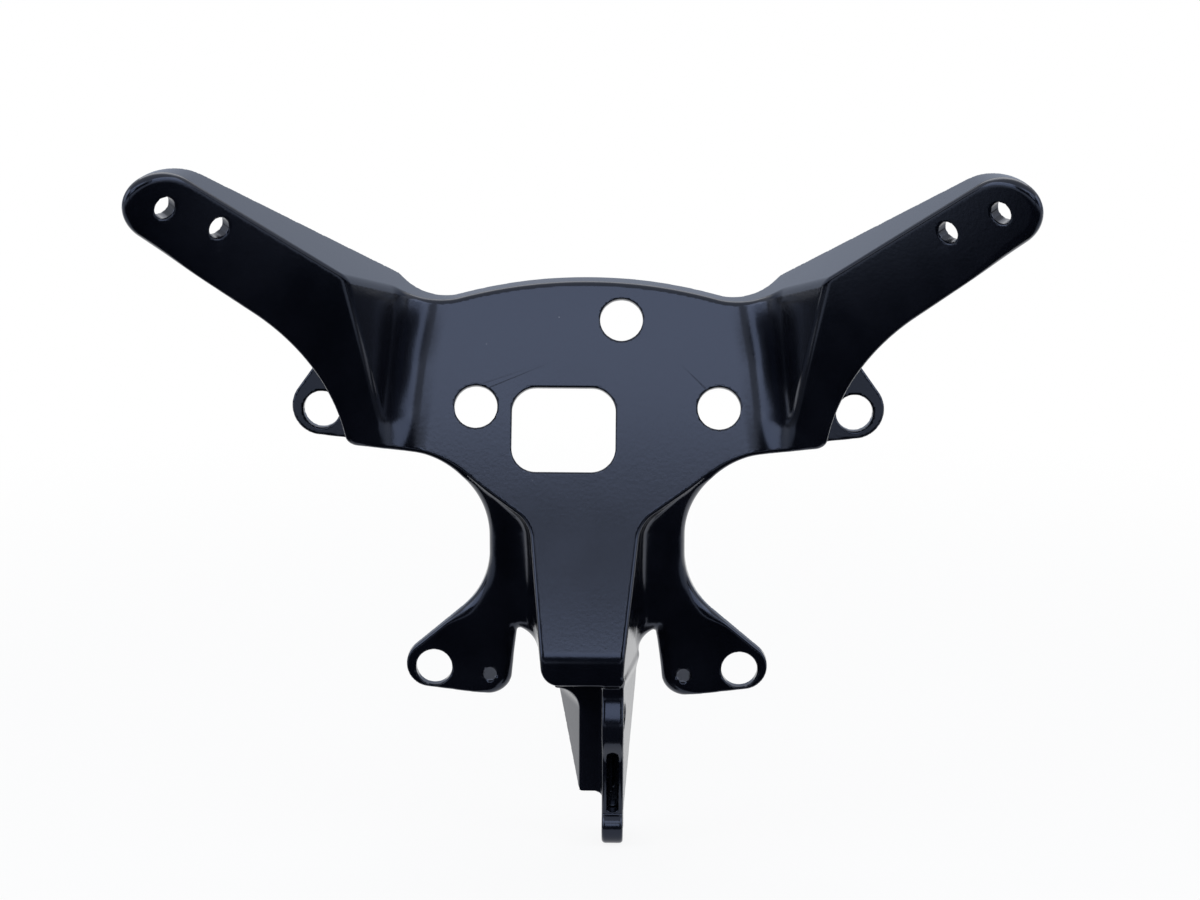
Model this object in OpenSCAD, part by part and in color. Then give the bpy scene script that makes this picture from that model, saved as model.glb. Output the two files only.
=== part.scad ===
// Motorcycle fairing stay: one thin-walled alloy casting, painted black and open at the back.
// X points right, Y points away from the rider, Z points up.
// Outlines are given as the casting meets the parting plane, y = 0 at the middle of the gauge plate.

/* [Casting] */
// Thickness of the faces and skirts
wall = 4; // [3:0.25:5]
// How far the skirts lean outward for each millimetre of depth
draft = 0.045; // [0.03:0.005:0.045]
// Depth of the skirt behind the gauge plate
skirt = 15; // [12:0.5:20]
// Where the flat back edge of the neck and legs lies
back_y = 12; // [11:0.5:16]
// Thickness of the stiffening ribs
rib_t = 3; // [2:0.25:4]
// How far the ribs stop short of the back edges
rib_short = 2; // [1:0.25:4]

/* [Gauge plate] */
// Lean of the gauge plate, its top away from the rider, in degrees
plate_lean = 20; // [17:0.5:23]
// Height of the arched top edge above the middle of the plate
plate_top = 50.5; // [48:0.5:53]
// Radius of the arched top edge
arch_r = 234; // [220:2:280]
// Half width of the arched stretch
arch_half = 58; // [54:0.5:60]
// Place of the plate's side walls, as half the width between them
inner_half = 85.4; // [82:0.2:88]
// Lean of the side walls, as sideways step for each millimetre of depth
inner_lean = 0.287; // [0.22:0.005:0.34]
// Diameter of the three gauge grommet holes
gauge_d = 19.2; // [16:0.2:20]
// Distance between the left and right gauge holes
gauge_pitch = 108.8; // [102:0.2:112]
// Sideways place of the gauge hole pattern
gauge_x = 4.5; // [2:0.5:6]
// Height of the left and right gauge holes
gauge_z = -2.8; // [-6:0.2:4]
// Sideways place of the upper gauge hole
gauge_top_x = 14.9; // [8:0.1:20]
// Height of the upper gauge hole
gauge_top_z = 35; // [30:0.5:36]
// Width of the wiring window
window_w = 46.4; // [36:0.2:48]
// Length of the wiring window along the plate
window_h = 38.4; // [30:0.2:40]
// Corner radius of the wiring window
window_r = 11; // [6:0.5:14]
// Sideways place of the wiring window
window_x = -10.5; // [-12:0.5:-6]
// Height of the wiring window
window_z = -12.4; // [-14:0.2:-8]

/* [Arms] */
// How far the arm faces come forward for each millimetre outward
arm_sweep = 0.85; // [0.75:0.01:0.95]
// How far the arm faces come forward for each millimetre upward
arm_rise = 0.42; // [0.36:0.01:0.48]
// Depth at which the arm faces would meet in the middle
arm_meet = 57.2; // [52:0.2:60]
// Half the distance between the centres of the rounded arm tips
tip_x = 164.5; // [158:0.5:168]
// Height of the centres of the rounded arm tips
tip_z = 93.5; // [90:0.5:97]
// Radius of the arm tips at the parting plane
tip_r = 19.9; // [18:0.1:21]
// Half the distance between the outer mirror bolt holes
pad_x = 163; // [158:0.5:166]
// Height of the outer mirror bolt holes
pad_z = 93.6; // [91:0.2:96]
// Diameter of the mirror bolt holes
pad_d = 9; // [6:0.2:10]
// Distance between the two mirror bolts of one arm
pad_pitch = 27.6; // [24:0.2:32]
// Thickness of the mirror pads
pad_t = 6.5; // [5:0.25:8]
// Depth of the arm skirt at the tip
tip_skirt = 20; // [16:0.5:26]

/* [Headlight ears] */
// Diameter of the grommet holes in the ears
ear_d = 16.5; // [14:0.1:18]
// Thickness of the ears
ear_t = 6; // [5:0.25:8]
// Radius of the upper ears
upper_ear_r = 13.3; // [12:0.1:16]
// Half the distance between the upper ears' holes
upper_ear_x = 120; // [114:0.5:124]
// Height of the upper ears' holes
upper_ear_z = -6; // [-8:0.5:0]
// Radius of the lower ears
lower_ear_r = 10.4; // [10.2:0.1:11.5]
// Half the distance between the lower ears' holes
lower_ear_x = 70; // [66:0.5:74]
// Height of the lower ears' holes
lower_ear_z = -125.2; // [-130:0.2:-120]
// Diameter of the round tool marks on the lower ears
mark_d = 6.6; // [4:0.2:8]
// Depth of the tool marks
mark_depth = 0.4; // [0.2:0.1:1]

/* [Neck and legs] */
// Half the narrowest width of the neck
neck_half = 44; // [41:0.5:47]
// Radius of the hollow curve over the neck
neck_top_r = 39.4; // [37:0.2:41]
// Radius of the hollow curve under the neck
neck_low_r = 36.2; // [33:0.2:39]
// Height of the clear gap's top between tongue and legs
notch_z = -105.5; // [-108:0.5:-100]
// Half the distance between the inner sides of the legs
leg_inner = 33; // [32:0.2:36]
// How far the front of the legs drops back for each millimetre downward
leg_lean = 0.25; // [0.22:0.005:0.3]

/* [Tongue and frame lug] */
// Half width of the tongue's lower end at the parting plane
tongue_half = 22; // [20.5:0.5:24]
// Half width of the tongue's root at the parting plane
tongue_root = 26; // [24:0.5:30]
// Height of the tongue's lower end at the parting plane
tongue_end = -125.2; // [-128:0.2:-122]
// How far the tongue's walls lean outward for each millimetre of depth
tongue_draft = 0.1; // [0.06:0.01:0.12]
// Sideways lean of the whole tongue for each millimetre of depth
tongue_skew = 0.03; // [0:0.005:0.04]
// Front of the tongue's end wall
end_wall_y = -39.6; // [-41:0.2:-36]
// Left face of the frame lug
lug_left = 7.7; // [6:0.1:9]
// Thickness of the frame lug
lug_t = 9.7; // [8:0.1:12]
// Diameter of the frame bolts' bores
frame_d = 8.5; // [8:0.1:11]
// Depth of the upper frame bolt
bolt_y = -28; // [-30:0.5:-24]
// Height of the upper frame bolt
bolt_z = -141; // [-143:0.5:-139]
// Radius of the upper boss
upper_boss_r = 12; // [11:0.25:13]
// Distance of the lower bolt below the upper one
bolt_pitch = 49.5; // [47:0.5:52]
// How far the lower bolt lies behind the upper one
bolt_setback = 6; // [3:0.5:8]
// Radius of the lower boss
lower_boss_r = 8; // [7.5:0.25:9]
// Width of the groove in the lug's front edge
groove_w = 5; // [3:0.25:6]
// Depth of the groove
groove_depth = 7; // [4:0.5:9]
// Left side of the gusset's front face
gusset_left = -2.4; // [-6:0.2:0]
// Front of the gusset
gusset_y = -22; // [-26:0.5:-18]
// Height of the gusset's lower end
gusset_end = -175; // [-178:0.5:-160]
// Sideways lean of the gusset's left face for each millimetre of depth
gusset_lean = 0.33; // [0.2:0.01:0.4]
// Radius of the curve at the top of the gusset
gusset_curve = 9.5; // [6:0.5:14]

/* [Hidden] */

$fn = 64;
near_y = -146;
far_y = 46;
reach = 400;
seam = 1.5;
plate_slope = tan(plate_lean);
arch_angle = asin(arch_half / arch_r);
arch_low = plate_top - arch_r * (1 - cos(arch_angle));
top_line_angle = 41.7;
low_line_angle = 42.5;
sweep_r = 98;
sweep_x = 203.4;
sweep_z = -28.8;
corner_z = -18.8;
corner_r = 7;
corner_inner_r = 12;
corner_end = 80;
least_r = 0.3;
cut_gap = 1;
neck_top_z = -62;
neck_low_z = -70;
leg_angle = 50.1;
sole_angle = 83;
ankle_angle = 4.8;
ear_out = 1.9;
ear_up = 1.4;
foot_x = 44.4;
foot_r = 9.5;
foot_z = lower_ear_z - 3;
notch_r = 3;
flare_r = 28;
flare_z = -64;
flare_start = 105;
flare_end = 177;
end_turn = 2;
right_end_r = 6.3;
left_end_r = 12;
root_over = 8;
root_in = 3;
tongue_reach = 1.5;
crest_z = -35.5;
leg_start_z = -33;
leg_face_y = back_y - ear_t;
leg_start_y = plate_slope * leg_start_z;
lug_right = lug_left + lug_t;
lug_mid = lug_left + lug_t / 2;
seat_w = 4.5;
lug_step = 0.4;
ear_y = leg_face_y + 1;
ear_rise = 1.6;
ear_top_angle = 36;
ear_low_angle = 6.3;
stub_gap = 1.2;
arm_ribs_x = [116, 136];
arm_ribs_z = 40;
gusset_top = tongue_end - 1.8;
low_bolt_y = bolt_y + bolt_setback;
low_bolt_z = bolt_z - bolt_pitch;
tongue_taper = (tongue_root - tongue_half) / (flare_z - tongue_end);
lug_top_z = tongue_end + wall + 2;
lug_low_z = low_bolt_z - lower_boss_r - cut_gap;
lug_inset = 2;
lug_root_y = back_y - 1;
lug_back_z = tongue_end - 2 * wall;
lug_sole_y = low_bolt_y + lower_boss_r / 4;
lug_sole_z = low_bolt_z - lower_boss_r + 0.3;
gusset_toe = 1;
lug_back_y = 2;
front_high = 8;
front_low = 3;
groove_drop = 2;
pad_slope = 0.52;
hole_run = pad_pitch / norm([1, arm_sweep + arm_rise * pad_slope, pad_slope]);
pad_margin = 8;
root_back = 193;
root_taper = 1.565;
root_fall = 0.403;

// Depth of a plane over the place [x, z]; a plane is [depth in the middle, slope in x, slope in z]
function depth_at(plane, p) = plane[0] + plane[1] * p[0] + plane[2] * p[1];

arm_face = [arm_meet, -arm_sweep, -arm_rise];
plate_face = [0, 0, plate_slope];
leg_face = [leg_start_y + leg_lean * leg_start_z, 0, -leg_lean];
tip_back_y = depth_at(arm_face, [tip_x, tip_z]) + tip_skirt;
arm_back = [root_back + (tip_back_y - depth_at([root_back, -root_taper, -root_fall], [tip_x, tip_z])),
            -root_taper, -root_fall];

// Points along an arc of the outline; grow moves the outline outward, and side is 1 for a
// bulge and -1 for a hollow; steps is how many straight pieces the arc has
function arc(centre, r, from, to, side, grow, steps) =
    let (rr = max(least_r, r + side * grow))
    [for (i = [0:steps]) centre + rr * [cos(from + (to - from) * i / steps),
                                        sin(from + (to - from) * i / steps)]];

// Right half of the casting's outline, from the top of the plate round to the notch
function body_half(grow, rc) =
    let (arch_c = [0, plate_top - arch_r],
         arch_end = [arch_half, arch_low],
         dip_n = [sin(arch_angle), cos(arch_angle)],
         line_n = [-sin(top_line_angle), cos(top_line_angle)],
         gap = (arch_end - [tip_x, tip_z]) * line_n - tip_r,
         dip_r = gap / (1 - dip_n * line_n),
         turn = 180 - asin((corner_z + rc - sweep_z) / (sweep_r + rc)),
         corner_c = [sweep_x, sweep_z] + (sweep_r + rc) * [cos(turn), sin(turn)])
    concat(
        arc(arch_c, arch_r, 90, 90 - arch_angle, 1, grow, 5),
        arc(arch_end + dip_r * dip_n, dip_r, 270 - arch_angle, 270 + top_line_angle, -1, grow, 8),
        arc([tip_x, tip_z], tip_r, 90 + top_line_angle, low_line_angle - 90, 1, grow, 14),
        arc([sweep_x, sweep_z], sweep_r, 90 + low_line_angle, turn, -1, grow, 8),
        arc(corner_c, rc, turn - 180, -corner_end, 1, grow, 4),
        arc([neck_half + neck_top_r, neck_top_z], neck_top_r, 180 - corner_end, 180, -1,
            grow, 11),
        arc([neck_half + neck_low_r, neck_low_z], neck_low_r, 180, 180 + leg_angle, -1, grow, 8),
        arc([lower_ear_x + ear_out, lower_ear_z + ear_up], lower_ear_r, leg_angle, -sole_angle, 1, grow, 12),
        arc([foot_x, foot_z], foot_r, -sole_angle, ankle_angle - 180, 1, grow, 6),
        arc([leg_inner - notch_r, notch_z - notch_r], notch_r, ankle_angle, 90, -1, grow, 4));

// Outline of the tongue; its right lower corner is tight and its left one is round
function tongue_ring(grow) =
    let (flare_x = tongue_root + flare_r,
         top_z = crest_z + root_over,
         right = arc([flare_x, flare_z], flare_r, flare_start, flare_end, -1, grow, 8),
         left = mirror_ring(right))
    concat(
        [[right[0][0] - root_in, top_z]],
        right,
        arc([tongue_half - right_end_r, tongue_end + right_end_r], right_end_r, -end_turn, -90, 1,
            grow, 4),
        arc([left_end_r - tongue_half, tongue_end + left_end_r], left_end_r, -90, end_turn - 180, 1,
            grow, 6),
        left,
        [[root_in - right[0][0], top_z]]);

// The same outline seen in a mirror, in the order that keeps it clockwise
function mirror_ring(points) = [for (i = [len(points) - 1:-1:0]) [-points[i][0], points[i][1]]];

// Whole outline of the casting; rc is the radius of its lower corners
function body_ring(grow, rc) =
    let (half = body_half(grow, rc))
    concat(half, mirror_ring([for (i = [1:len(half) - 1]) half[i]]));

// Solid between one outline near the rider and another, of as many points, far from the rider;
// resize of zero keeps the size and splits the hollow-sided end faces rightly
module between(near_ring, y0, far_ring, y1) {
    n = len(near_ring);
    points = concat([for (p = near_ring) [p[0], y0, p[1]]], [for (p = far_ring) [p[0], y1, p[1]]]);
    sides = [for (i = [0:n - 1]) let (j = (i + 1) % n) [i, i + n, j + n, j]];
    resize([0, 0, 0])
        polyhedron(points, concat([[for (i = [0:n - 1]) i], [for (i = [n - 1:-1:0]) i + n]], sides));
}

// Everything behind a plane, moved back by shift square to the plane
module behind(plane, shift) {
    turn = atan(plane[1]);
    tip = -atan(plane[2] * cos(turn));
    translate([0, plane[0], 0])
        rotate([tip, 0, turn])
            translate([-reach, shift, -reach])
                cube([2 * reach, reach, 2 * reach]);
}

// Everything in front of a plane
module before(plane, shift) {
    turn = atan(plane[1]);
    tip = -atan(plane[2] * cos(turn));
    translate([0, plane[0], 0])
        rotate([tip, 0, turn])
            translate([-reach, shift - reach, -reach])
                cube([2 * reach, reach, 2 * reach]);
}

// Its children and their mirror image
module both_sides() {
    children();
    mirror([1, 0, 0]) children();
}

// Flat shape drawn in X and Z, carried from y0 to y1
module slab(y0, y1) {
    translate([0, y1, 0])
        rotate([90, 0, 0])
            linear_extrude(y1 - y0)
                children();
}

// Flat shape drawn in Y and Z, carried from x0 to x1
module side_slab(x0, x1) {
    translate([x0, 0, 0])
        rotate([90, 0, 90])
            linear_extrude(x1 - x0)
                children();
}

// Space behind an arm's face and outside the plate's side wall
module arm_space(inset) {
    intersection() {
        behind(arm_face, inset);
        rotate([0, 0, atan(inner_lean)])
            translate([inner_half * cos(atan(inner_lean)) + inset, -reach, -reach])
                cube(2 * reach);
    }
}

// Block of the casting without its back; inset gives the hollow inside it
module block(inset) {
    rc = inset > 0 ? corner_inner_r : corner_r;
    intersection() {
        between(body_ring(draft * near_y - inset, rc), near_y, body_ring(draft * far_y - inset, rc), far_y);
        union() {
            both_sides() arm_space(inset);
            intersection() {
                behind(plate_face, inset);
                translate([-reach, -reach, crest_z + inset]) cube(2 * reach);
            }
            intersection() {
                behind(plate_face, inset + seam);
                union() {
                    behind(leg_face, inset);
                    translate([-reach, leg_face_y + inset, -reach]) cube([2 * reach, reach, reach]);
                }
                translate([-reach, -reach, inset > 0 ? notch_z + notch_r : -reach]) cube(2 * reach);
            }
        }
    }
    tongue(inset);
}

// Tongue in front of the neck, which carries the lug; inset gives its hollow
module tongue(inset) {
    near = tongue_reach * end_wall_y;
    intersection() {
        between([for (p = tongue_ring(tongue_draft * near - inset)) p + [tongue_skew * near, 0]], near,
                [for (p = tongue_ring(tongue_draft * far_y - inset)) p + [tongue_skew * far_y, 0]], far_y);
        behind(plate_face, inset);
        translate([-reach, end_wall_y + inset, -reach]) cube(2 * reach);
    }
}

// Everything in front of the casting's back edges
module back_limit(short) {
    intersection() {
        both_before(short);
        union() {
            before([skirt, 0, plate_slope], -short);
            translate([-reach, -reach, -reach]) cube([2 * reach, reach + back_y - short, 2 * reach]);
        }
    }
}

// In front of the back planes of both arms
module both_before(short) {
    intersection() {
        before(arm_back, -short);
        mirror([1, 0, 0]) before(arm_back, -short);
    }
}

// Thick floor of the arm tips, where the mirrors bolt on
module pads() {
    both_sides()
        intersection() {
            behind(arm_face, wall / 2);
            before(arm_face, pad_t);
            translate([pad_x - hole_run - pad_margin, -reach, 0]) cube(reach);
        }
}

// Places its children on an arm face, with their Z axis square to it and pointing to the rider
module on_arm_face(x, z) {
    translate([x, depth_at(arm_face, [x, z]), z])
        rotate([-atan(-arm_rise * cos(atan(arm_sweep))), 0, -atan(arm_sweep)])
            rotate([90, 0, 0])
                children();
}

// Places its children on the gauge plate, with their Z axis square to it and pointing to the rider
module on_plate(x, z) {
    translate([x, plate_slope * z, z])
        rotate([90 - plate_lean, 0, 0])
            children();
}

// Holes for the mirrors' bolts in the arm tips
module mirror_bores() {
    both_sides()
        for (step = [0, 1])
            on_arm_face(pad_x - step * hole_run, pad_z - step * hole_run * pad_slope)
                translate([0, 0, -pad_t - cut_gap]) cylinder(d = pad_d, h = pad_t + 2 * cut_gap);
}

// Holes for the gauges' grommets in the plate
module gauge_bores() {
    places = [[gauge_x - gauge_pitch / 2, gauge_z], [gauge_x + gauge_pitch / 2, gauge_z],
              [gauge_top_x, gauge_top_z]];
    for (p = places)
        on_plate(p[0], p[1])
            translate([0, 0, -wall - cut_gap]) cylinder(d = gauge_d, h = wall + 2 * cut_gap);
}

// Window that the wiring goes through
module window() {
    straight_w = window_w / 2 - window_r;
    straight_h = window_h / 2 - window_r;
    on_plate(window_x, window_z)
        translate([0, 0, -wall - cut_gap])
            linear_extrude(wall + 2 * cut_gap)
                union() {
                    square([window_w, 2 * straight_h], center = true);
                    square([2 * straight_w, window_h], center = true);
                    for (sx = [-1, 1], sz = [-1, 1])
                        translate([sx * straight_w, sz * straight_h]) circle(window_r);
                }
}

// Ears of the upper headlight grommets, outside the arms' roots
module upper_ears() {
    root_x = sweep_x - sweep_r - wall / 2;
    middle = [upper_ear_x, upper_ear_z + ear_rise];
    upper = middle + upper_ear_r * [cos(ear_top_angle), sin(ear_top_angle)];
    lower = middle + upper_ear_r * [sin(ear_low_angle), -cos(ear_low_angle)];
    both_sides()
        slab(ear_y, ear_y + ear_t) {
            translate(middle) circle(upper_ear_r);
            polygon([lower, upper, [root_x, upper[1] + (upper[0] - root_x) / tan(ear_top_angle)],
                     [root_x, lower[1] - (lower[0] - root_x) * tan(ear_low_angle)]]);
        }
}

// Grommet holes of the four ears and the round tool marks
module ear_cuts() {
    both_sides() {
        slab(ear_y - cut_gap, ear_y + ear_t + cut_gap)
            translate([upper_ear_x, upper_ear_z]) circle(d = ear_d);
        slab(leg_face_y - cut_gap, back_y + cut_gap)
            translate([lower_ear_x, lower_ear_z]) circle(d = ear_d);
        slab(leg_face_y - cut_gap, leg_face_y + mark_depth)
            translate([foot_x, foot_z]) circle(d = mark_d);
    }
}

// Ribs left standing in the hollow, behind the gauge plate and across the arms
module ribs() {
    window_left = window_x - window_w / 2 - rib_t;
    gauge_right = gauge_top_x + gauge_d / 2 + 2 * rib_t;
    gauge_top = gauge_top_z + gauge_d / 2 * cos(plate_lean);
    intersection() {
        back_limit(rib_short);
        slab(-reach, far_y) {
            for (x = [window_left, gauge_right])
                translate([x - rib_t / 2, crest_z + wall / 2]) square([rib_t, reach]);
            translate([gauge_top_x - rib_t / 2, gauge_top + stub_gap]) square([rib_t, plate_top]);
            translate([wall - inner_half, window_z + window_h / 2 + 2 * rib_t])
                square([2 * (inner_half - wall), rib_t]);
            both_sides()
                for (x = arm_ribs_x)
                    translate([x, arm_ribs_z]) rotate(top_line_angle) translate([-rib_t / 2, -reach / 4])
                        square([rib_t, reach / 2]);
        }
    }
}

// Plate below the tongue, with a boss at each frame bolt and a groove between them
module lug() {
    groove_z = low_bolt_z + lower_boss_r + groove_drop;
    difference() {
        union() {
            side_slab(lug_left, lug_right) lug_profile();
            intersection() {
                side_slab(lug_mid, lug_right + reach) lug_profile();
                between(lug_wedge(end_wall_y), end_wall_y, lug_wedge(far_y), far_y);
            }
        }
        for (c = [[bolt_y, bolt_z], [low_bolt_y, low_bolt_z]]) {
            side_slab(lug_left - cut_gap, lug_right + cut_gap) translate(c) circle(d = frame_d);
            side_slab(lug_right, lug_right + reach) translate(c) circle(d = frame_d + 2 * seat_w);
        }
        slab(-reach, low_bolt_y - front_low + groove_depth) {
            translate([lug_mid - groove_w / 2, groove_z])
                square([groove_w, bolt_z - upper_boss_r - groove_z]);
            translate([lug_mid, groove_z]) circle(d = groove_w);
        }
    }
}

// Section of the lug's right side at one depth; it carries on the tongue's right wall
function lug_wedge(y) =
    let (x = tongue_half - lug_step + (tongue_draft + tongue_skew) * y)
    [[lug_mid - cut_gap, lug_top_z], [x + tongue_taper * (lug_top_z - tongue_end), lug_top_z],
     [x + tongue_taper * (lug_low_z - tongue_end), lug_low_z],
     [lug_mid - cut_gap, lug_low_z]];

// The lug seen from the side, in Y and Z
module lug_profile() {
    translate([bolt_y, bolt_z]) circle(upper_boss_r);
    translate([low_bolt_y, low_bolt_z]) circle(lower_boss_r);
    polygon([[end_wall_y + lug_inset, lug_top_z], [lug_root_y, lug_top_z], [lug_root_y, lug_back_z],
             [lug_back_y, low_bolt_z], [lug_sole_y, lug_sole_z], [low_bolt_y - front_low, low_bolt_z],
             [bolt_y - front_high, bolt_z]]);
}

// Gusset beside the lug, its front edge curving out under the tongue
module gusset() {
    shift = gusset_lean * (far_y - gusset_y);
    right = [[lug_mid, lug_top_z], [lug_mid, gusset_end]];
    left = concat([[gusset_left, gusset_end]],
                  arc([gusset_left - gusset_curve, gusset_top - gusset_curve], gusset_curve, 0, 90, -1, 0, 6),
                  [[gusset_left - gusset_curve, lug_top_z]]);
    intersection() {
        between(concat(right, left), gusset_y,
                concat(right, [for (p = left) p - [shift, 0]]), far_y);
        side_slab(gusset_left - gusset_lean * (back_y - gusset_y), lug_mid)
            polygon([[gusset_y, lug_top_z], [lug_root_y, lug_top_z], [lug_root_y, lug_back_z],
                     [gusset_y + gusset_toe, gusset_end], [gusset_y, gusset_end]]);
    }
}

// Plate, arms, neck, legs and tongue, hollow at the back
module casting() {
    difference() {
        intersection() {
            block(0);
            back_limit(0);
        }
        difference() {
            block(wall);
            pads();
            ribs();
        }
    }
}

// The whole stay, moved so that the upper frame bolt's bore is at the origin
module fairing_stay() color("#15171d") {
    translate([-lug_mid, -bolt_y, -bolt_z])
        difference() {
            union() {
                casting();
                upper_ears();
                lug();
                gusset();
            }
            gauge_bores();
            window();
            mirror_bores();
            ear_cuts();
        }
}

fairing_stay();
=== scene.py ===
"""Looks of a motorcycle fairing stay: one thin-walled casting in black coating, in a plain studio.

The casting is one smooth surface. Its shape is written as a distance field in millimetres: planes,
arcs and round bars that are joined with fillets and cut with rounded rims. The surface where the
field is zero is laid out on a grid, drawn onto the field and given the field's own normals.
"""

import logging
import math
from dataclasses import dataclass, field
from enum import Enum
from typing import Any, Callable, Sequence

import bpy
import numpy as np
from mathutils import Matrix, Vector


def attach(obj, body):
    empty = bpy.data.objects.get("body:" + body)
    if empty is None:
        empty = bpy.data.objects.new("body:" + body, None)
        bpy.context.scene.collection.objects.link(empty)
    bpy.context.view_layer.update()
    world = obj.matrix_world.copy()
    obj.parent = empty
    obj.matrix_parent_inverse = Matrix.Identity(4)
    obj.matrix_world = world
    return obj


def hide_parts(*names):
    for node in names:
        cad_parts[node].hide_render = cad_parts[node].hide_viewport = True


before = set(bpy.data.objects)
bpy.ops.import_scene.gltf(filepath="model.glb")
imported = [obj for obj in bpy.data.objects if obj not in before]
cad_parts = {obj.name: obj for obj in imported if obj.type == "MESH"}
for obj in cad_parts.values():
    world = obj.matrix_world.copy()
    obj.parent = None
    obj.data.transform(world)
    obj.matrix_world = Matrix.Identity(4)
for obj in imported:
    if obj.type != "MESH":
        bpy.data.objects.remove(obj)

LOG = logging.getLogger("fairing_stay")
MM = 0.001
Array = np.ndarray
Pair = tuple[float, float]
Triple = tuple[float, float, float]
Colour = tuple[float, float, float, float]


class Side(Enum):
    """Left or right half, as the sign of X."""

    LEFT = -1
    RIGHT = 1


class Turn(Enum):
    """Whether an arc of an outline bulges out of the shape or hollows into it."""

    BULGE = 1
    HOLLOW = -1


# ---- field tools


def join(a: Array, b: Array, r: Any) -> Array:
    """Union of two fields with a concave fillet.

    Formula: the smaller field, but where both are under r, r less the length of (r - a, r - b).

    Args:
        a, b: signed distances, negative inside.
        r: fillet radius, a number or an array.

    Returns:
        The joined field.
    """
    return np.maximum(r, np.minimum(a, b)) - np.hypot(np.maximum(r - a, 0), np.maximum(r - b, 0))


def trim(a: Array, b: Array, r: Any) -> Array:
    """Common part of two fields with a rounded edge.

    Formula: the larger field, but where both are over -r, the length of (a + r, b + r) less r.

    Args:
        a, b: signed distances, negative inside.
        r: edge radius, a number or an array.

    Returns:
        The trimmed field.
    """
    return np.minimum(-r, np.maximum(a, b)) + np.hypot(np.maximum(r + a, 0), np.maximum(r + b, 0))


def mesh_object(name: str, points: Array, faces: Array) -> bpy.types.Object:
    """A new object in the scene from points (n, 3) and faces."""
    mesh = bpy.data.meshes.new(name)
    mesh.from_pydata(points.tolist(), [], faces.tolist())
    thing = bpy.data.objects.new(name, mesh)
    bpy.context.scene.collection.objects.link(thing)
    return thing


def ease(value: Array, low: float, high: float) -> Array:
    """Smooth step from 0 at low to 1 at high: t squared times (3 - 2 t)."""
    t = np.clip((value - low) / (high - low), 0.0, 1.0)
    return t * t * (3.0 - 2.0 * t)


def convex(points: Sequence[Pair], u: Array, v: Array) -> Array:
    """Field of a convex outline: the largest distance beyond any of its sides.

    Args:
        points: corners, clockwise in (u, v).
        u, v: places.

    Returns:
        Signed distance, negative inside.
    """
    result = None
    for (u0, v0), (u1, v1) in zip(points, list(points[1:]) + [points[0]]):
        length = math.hypot(u1 - u0, v1 - v0)
        beyond = ((v0 - v1) * (u - u0) + (u1 - u0) * (v - v0)) / length
        result = beyond if result is None else np.maximum(result, beyond)
    return result


def nearer(best: Array | None, value: Array) -> Array:
    """The signed distance that is smaller in size, at each place."""
    return value if best is None else np.where(np.abs(value) < np.abs(best), value, best)


@dataclass(frozen=True)
class Arc:
    """One arc of an outline, from start to end in degrees, in X and Z."""

    x: float
    z: float
    r: float
    start: float
    end: float
    turn: Turn

    def tip(self, angle: float) -> Pair:
        """Point of the arc at an angle."""
        turn = math.radians(angle)
        return self.x + self.r * math.cos(turn), self.z + self.r * math.sin(turn)

    def distance(self, x: Array, z: Array) -> Array:
        """Signed distance to the arc.

        Formula: within its span, the distance from its centre less its radius, with the turn's
        sign; past an end, the distance to that end, with the sign of the end's own normal.

        Args:
            x, z: places.

        Returns:
            Signed distance, positive on the outer side.
        """
        dx, dz = x - self.x, z - self.z
        middle, half = (self.start + self.end) / 2.0, abs(self.end - self.start) / 2.0
        off = np.degrees(np.arctan2(dz, dx)) - middle
        off = np.abs((off + 180.0) % 360.0 - 180.0)
        result = self.turn.value * (np.hypot(dx, dz) - self.r)
        ends = None
        for angle in (self.start, self.end):
            ex, ez = self.tip(angle)
            nx, nz = math.cos(math.radians(angle)), math.sin(math.radians(angle))
            px, pz = x - ex, z - ez
            signed = np.copysign(np.hypot(px, pz), self.turn.value * (px * nx + pz * nz))
            ends = nearer(ends, signed)
        return np.where(off <= half, result, ends)


@dataclass(frozen=True)
class Outline:
    """Open outline of arcs, clockwise, with straight lines before, between and after them."""

    arcs: tuple[Arc, ...]
    start: Pair
    end: Pair
    least_line: float = 0.02

    def lines(self) -> list[tuple[Pair, Pair]]:
        """Straight lines before, between and after the arcs, where they are longer than nothing."""
        stops = [self.start]
        for arc in self.arcs:
            stops += [arc.tip(arc.start), arc.tip(arc.end)]
        stops.append(self.end)
        pairs = [(stops[i], stops[i + 1]) for i in range(0, len(stops), 2)]
        return [(a, b) for a, b in pairs if math.dist(a, b) > self.least_line]

    def distance(self, x: Array, z: Array) -> Array:
        """Signed distance to the outline: that of its nearest arc or line.

        Args:
            x, z: places.

        Returns:
            Signed distance, negative inside.
        """
        best = None
        for arc in self.arcs:
            best = nearer(best, arc.distance(x, z))
        for (ax, az), (bx, bz) in self.lines():
            ux, uz = bx - ax, bz - az
            length = math.hypot(ux, uz)
            along = np.clip(((x - ax) * ux + (z - az) * uz) / length**2, 0.0, 1.0)
            px, pz = x - ax - along * ux, z - az - along * uz
            best = nearer(best, np.copysign(np.hypot(px, pz), (x - ax) * -uz + (z - az) * ux))
        return best


@dataclass(frozen=True)
class Plane:
    """Depth y as level + slope_x * |x| + slope_z * z."""

    level: float
    slope_x: float
    slope_z: float

    def ahead(self, ax: Array, y: Array, z: Array) -> Array:
        """Distance in front of the plane, on the rider's side, square to it."""
        return (self.depth(ax, z) - y) / math.hypot(1.0, self.slope_x, self.slope_z)

    def depth(self, ax: Any, z: Any) -> Any:
        """Depth y of the plane at a place."""
        return self.level + self.slope_x * ax + self.slope_z * z


# ---- surface net


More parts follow.
